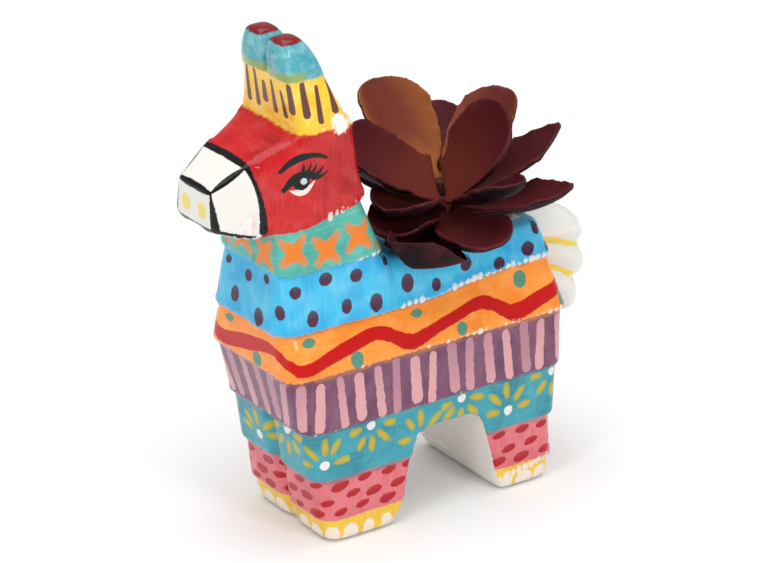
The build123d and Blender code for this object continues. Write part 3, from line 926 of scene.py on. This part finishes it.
# %% Leaf skins and their coordinates
LEAF_VOXEL = 0.36 * MM
BLUSH = {"raised_leaf_2": 1.0, "raised_leaf_1": 0.8, "heart_leaf_1": 0.38, "heart_leaf_2": 0.34,
         "spread_leaf_5": 0.55, "spread_leaf_4": 0.4, "spread_leaf_3": 0.45}
BLUSH_LOW = 0.12
RIM_BAND = 3.2
RIM_THIN = 0.62
RIM_WAVE = 0.45
CLAW_SPREAD = 0.9
CLAW_SHARE = 0.4
POINTED = {"spread_leaf_2": 0.62, "low_leaf_1": 0.5, "spread_leaf_1": 0.45, "spread_leaf_5": 0.2}
POINT_SHARE = 0.64
stem_low, stem_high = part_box("stem_pick")
hub = np.array([(stem_low.x + stem_high.x) / 2, (stem_low.y + stem_high.y) / 2]) / MM
leaf_names = sorted(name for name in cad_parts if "leaf" in name)
leaves = []
for name in leaf_names:
    leaf = melted_copy(name, "soft_" + name, LEAF_VOXEL, 5)
    places = positions(leaf)
    from_hub = np.linalg.norm(places[:, :2] - hub, axis=1)
    tip_at = places[np.argmax(np.linalg.norm(places - places[np.argmin(from_hub)], axis=1))]
    claw_at = places[from_hub < from_hub.min() + 2.0].mean(axis=0)
    length_way = tip_at - claw_at
    span = np.linalg.norm(length_way)
    length_way = length_way / span
    centred = places - places.mean(axis=0)
    centred = centred - np.outer(centred @ length_way, length_way)
    spread_ways = np.linalg.svd(centred, full_matrices=False)[2]
    width_way, face_way = spread_ways[0], spread_ways[1]
    face_way = face_way if face_way[2] > 0 else -face_way
    run = (places - claw_at) @ length_way / span
    wide = centred @ width_way
    slices = np.clip((run * 40).astype(int), 0, 39)
    half_width = np.array([np.abs(wide[np.abs(slices - row) <= 1]).max(initial=0.1) for row in range(40)])
    to_rim = np.minimum(half_width[slices] - np.abs(wide), (run.max() - run) * span)
    rim = np.clip(1 - to_rim / RIM_BAND, 0, 1)
    inward = vertex_normals(leaf) @ face_way
    keep(leaf, "along", run)
    keep(leaf, "across", np.abs(wide) / np.abs(wide).max())
    keep(leaf, "inner", inward)
    keep(leaf, "rim", rim)
    ripple = np.sin(run * span * 0.55 + len(leaves)) + np.sin(run * span * 1.15 + wide + 2.0 * len(leaves))
    thinner = RIM_THIN * rim * np.clip(-inward, 0, 1)
    tip = np.clip((run - POINT_SHARE) / (1 - POINT_SHARE), 0, 1)
    broad = CLAW_SPREAD * np.clip(1 - run / CLAW_SHARE, 0, 1) ** 2 * wide
    broad = broad - POINTED.get(name, 0.0) * tip ** 1.4 * wide
    lifted = RIM_WAVE * rim * rim * ripple / 2 + 2.0 * POINTED.get(name, 0.0) * tip ** 2
    places = places - vertex_normals(leaf) * thinner[:, None] + np.outer(broad, width_way)
    move_to(leaf, places + np.outer(lifted, face_way))
    keep(leaf, "blush", np.full(len(places), BLUSH.get(name, BLUSH_LOW)))
    leaves.append(leaf)
print("leaves:", len(leaves), "with", sum(len(leaf.data.polygons) for leaf in leaves), "squares")

# %% [markdown]
# ## The leaf over the rim
# One more leaf hangs lowest of all, between two others, and its dark belly leans out over the pot's rim. It
# came from the same mould, so it is a copy of its neighbour that is turned about the stem and set lower.
# Outside the rim it sags and swings towards the neck, and its end is widened and curled up, so the belly
# shows. Turning the mesh itself, and not the object, keeps the piece unturned at the origin.

# %% Turn a copy about the stem
RIM_HEIGHT = 75.0
RIM_TURN = math.radians(20.0)
RIM_LONG = 1.18
RIM_WIDE = 1.6
RIM_LEVEL = 77.6
RIM_CUP_SHARE = 0.3
RIM_TIP = 0.05
RIM_SAG = 2.2
RIM_SAG_RUN = 2.6
RIM_SWING = 5.5
RIM_SWING_RUN = 4.0
RIM_CURL = 9.5
RIM_CURL_FROM = 26.5
RIM_CURL_RUN = 6.0
RIM_PAINTED_SHADE = 0.1
neighbour = leaves[leaf_names.index("low_leaf_4")]
rim_leaf = bpy.data.objects.new("soft_rim_leaf", neighbour.data.copy())
bpy.context.scene.collection.objects.link(rim_leaf)
places = positions(rim_leaf)
from_hub = np.linalg.norm(places[:, :2] - hub, axis=1)
from_hub = from_hub * (1 + (RIM_LONG - 1) * np.clip(from_hub / from_hub.max(), 0, 1))
bearing = np.arctan2(places[:, 1] - hub[1], places[:, 0] - hub[0])
middle = np.arctan2(places[:, 1].mean() - hub[1], places[:, 0].mean() - hub[0])
off_middle = bearing - middle
outer_share = np.clip(from_hub / RIM_CURL_FROM, 0, 1) ** 2
wider = 1 + (np.where(off_middle > 0, RIM_WIDE, 1.0) - 1) * outer_share
bearing = middle + RIM_TURN + off_middle * wider
turned = from_hub[:, None] * np.column_stack([np.cos(bearing), np.sin(bearing)])
pot_rim = outline[int(RIM_HEIGHT), 0] + 0.4
turned[:, 1] -= RIM_SWING * np.clip((turned[:, 0] - pot_rim) / RIM_SWING_RUN, 0, 1)
low_z = RIM_LEVEL + RIM_CUP_SHARE * (places[:, 2] - places[:, 2].min()) - RIM_TIP * from_hub
low_z = low_z - RIM_SAG * np.clip((turned[:, 0] - pot_rim) / RIM_SAG_RUN, 0, 1)
low_z = low_z + RIM_CURL * np.clip((from_hub - RIM_CURL_FROM) / RIM_CURL_RUN, 0, 1) ** 1.5
move_to(rim_leaf, np.column_stack([turned + hub, low_z]))
# The rim leaf lies in deep shade under the leaves above, so its inner face is painted darker: painted shade.
faces_in = np.empty(len(places), dtype=np.float32)
rim_leaf.data.attributes["inner"].data.foreach_get("value", faces_in)
keep(rim_leaf, "inner", faces_in * RIM_PAINTED_SHADE)
over_rim = low_z[turned[:, 0] < pot_rim].min()
print("soft_rim_leaf: lowest over the pot", round(float(over_rim), 2), "mm up")

# %% [markdown]
# ## Leaf colour
# The plastic is dark burgundy. Dye was sprayed into the heart, so the inner faces turn brown and gold
# towards the claw, most of all on the upright leaves, while rims stay wine red. Undersides are painted nearly
# black as painted shade.

# %% Burgundy leaf with a golden blush
leaf_skin = bpy.data.materials.new("burgundy_leaf")
leaf_skin.use_nodes = True
tree = leaf_skin.node_tree
shader = tree.nodes["Principled BSDF"]
coordinate = tree.nodes.new("ShaderNodeTexCoord")
spot = scaled(tree, Value(tree, coordinate.outputs["Object"]), 1 / MM)
cloud = noise_of(tree, spot, 0.12, 3.0) - 0.5
speck = noise_of(tree, spot, 2.2, 2.0)
inner = between(stored(tree, "inner"), -0.15, 0.35)
base_share = stored(tree, "along") + cloud * 0.5
glow = stored(tree, "blush")
warm = between(base_share, 0.9, 0.1) * inner * glow
edge = between(stored(tree, "rim") + cloud * 0.4, 0.2, 0.9)
# Undersides are painted nearly black: painted shade on the faces turned away from the lamps.
colour = blend(tree, inner, paint(16, 6, 8), paint(78, 22, 29))
colour = blend(tree, between(cloud, -0.1, 0.2) * 0.4, colour, paint(92, 30, 36))
colour = blend(tree, warm * 1.3, colour, paint(120, 54, 32))
golden = between(glow, 0.62, 1.0) * inner
rosy = between(stored(tree, "across") + cloud * 0.5, 1.05, 0.3) * between(base_share, 0.1, 0.5)
colour = blend(tree, golden * 0.9, colour, blend(tree, rosy * 0.9, paint(166, 98, 48), paint(112, 48, 42)))
colour = blend(tree, edge * inner * (golden * -0.8 + 1.0) * 0.4, colour, paint(104, 44, 54))
colour = blend(tree, between(speck, 0.62, 0.75) * 0.15, colour, paint(140, 74, 70))
feed(tree, shader.inputs["Base Color"], colour)
feed(tree, shader.inputs["Roughness"], noise_of(tree, spot, 0.8, 2.0) * 0.2 + 0.5)
shader.inputs["Specular IOR Level"].default_value = 0.12
bump = tree.nodes.new("ShaderNodeBump")
bump.inputs["Distance"].default_value = 0.12 * MM
bump.inputs["Strength"].default_value = 0.4
feed(tree, bump.inputs["Height"], noise_of(tree, spot, 2.6, 3.0))
tree.links.new(bump.outputs[0], shader.inputs["Normal"])
for leaf, name in zip(leaves, leaf_names):
    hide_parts(name)
for leaf in (*leaves, rim_leaf):
    leaf.data.materials.append(leaf_skin)
    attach(leaf, "plant")
print("burgundy_leaf:", len(tree.nodes), "nodes on", len(leaves) + 1, "leaves")

# %% [markdown]
# ## Foam and stem
# Dry floral foam fills the pocket below the plant: a crumbly dark green block, melted a little because its
# edges crumble. The stem is one moulded pick in the same burgundy plastic, and the sized solid itself is
# shown. Their materials carry the grain.

# %% Crumbly foam
foam = melted_copy("foam_plug", "crumbly_foam", 0.7 * MM, 1)
foam_skin = bpy.data.materials.new("dry_foam")
foam_skin.use_nodes = True
tree = foam_skin.node_tree
shader = tree.nodes["Principled BSDF"]
coordinate = tree.nodes.new("ShaderNodeTexCoord")
spot = scaled(tree, Value(tree, coordinate.outputs["Object"]), 1 / MM)
crumb = noise_of(tree, spot, 1.7, 4.0, 0.7)
feed(tree, shader.inputs["Base Color"], blend(tree, crumb, paint(30, 38, 24), paint(84, 96, 62)))
shader.inputs["Roughness"].default_value = 0.95
bump = tree.nodes.new("ShaderNodeBump")
bump.inputs["Distance"].default_value = 0.5 * MM
feed(tree, bump.inputs["Height"], crumb)
tree.links.new(bump.outputs[0], shader.inputs["Normal"])
foam.data.materials.append(foam_skin)
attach(foam, "pot")
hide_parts("foam_plug")
print("crumbly_foam:", len(foam.data.polygons), "squares")

# %% Moulded stem
stem_skin = bpy.data.materials.new("burgundy_stem")
stem_skin.use_nodes = True
tree = stem_skin.node_tree
shader = tree.nodes["Principled BSDF"]
coordinate = tree.nodes.new("ShaderNodeTexCoord")
spot = scaled(tree, Value(tree, coordinate.outputs["Object"]), 1 / MM)
mottle = noise_of(tree, spot, 0.6, 3.0)
feed(tree, shader.inputs["Base Color"], blend(tree, mottle, paint(40, 14, 18), paint(92, 42, 34)))
feed(tree, shader.inputs["Roughness"], mottle * 0.2 + 0.45)
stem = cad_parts["stem_pick"]
stem.data.materials.clear()
stem.data.materials.append(stem_skin)
print("burgundy_stem set on the pick")

# %% [markdown]
# ## Floor and light
# A plain pale floor and soft lamps, as in a studio: one broad lamp above lights the whole donkey, and two
# small weak ones, before it and at its left side, put short highlights on the glaze.

# %% Floor, world and lamps
shape = bmesh.new()
bmesh.ops.create_grid(shape, x_segments=1, y_segments=1, size=3.0)
floor_mesh = bpy.data.meshes.new("floor")
shape.to_mesh(floor_mesh)
shape.free()
floor = bpy.data.objects.new("floor", floor_mesh)
bpy.context.scene.collection.objects.link(floor)
floor_paint = bpy.data.materials.new("floor_paint")
floor_paint.use_nodes = True
floor_paint.node_tree.nodes["Principled BSDF"].inputs["Base Color"].default_value = (0.94, 0.94, 0.94, 1.0)
floor_paint.node_tree.nodes["Principled BSDF"].inputs["Roughness"].default_value = 0.9
floor_mesh.materials.append(floor_paint)

world = bpy.data.worlds.new("studio")
world.use_nodes = True
world.node_tree.nodes["Background"].inputs[0].default_value = (1.0, 1.0, 1.0, 1.0)
world.node_tree.nodes["Background"].inputs[1].default_value = 0.38
bpy.context.scene.world = world


def lamp(name, place_at, size_m, power):
    """A square soft lamp that faces the donkey."""
    light = bpy.data.lights.new(name, "AREA")
    light.size = size_m
    light.energy = power
    thing = bpy.data.objects.new(name, light)
    bpy.context.scene.collection.objects.link(thing)
    thing.location = place_at
    thing.rotation_euler = (VIEW_TARGET - thing.location).to_track_quat("-Z", "Y").to_euler()


lamp("top_lamp", Vector((0.1, -0.1, 1.8)), 1.8, 30.0)
lamp("front_lamp", Vector((0.35, -0.9, 0.5)), 0.22, 1.9)
lamp("side_lamp", Vector((0.9, 0.1, 0.5)), 0.22, 2.1)
print("studio lit")
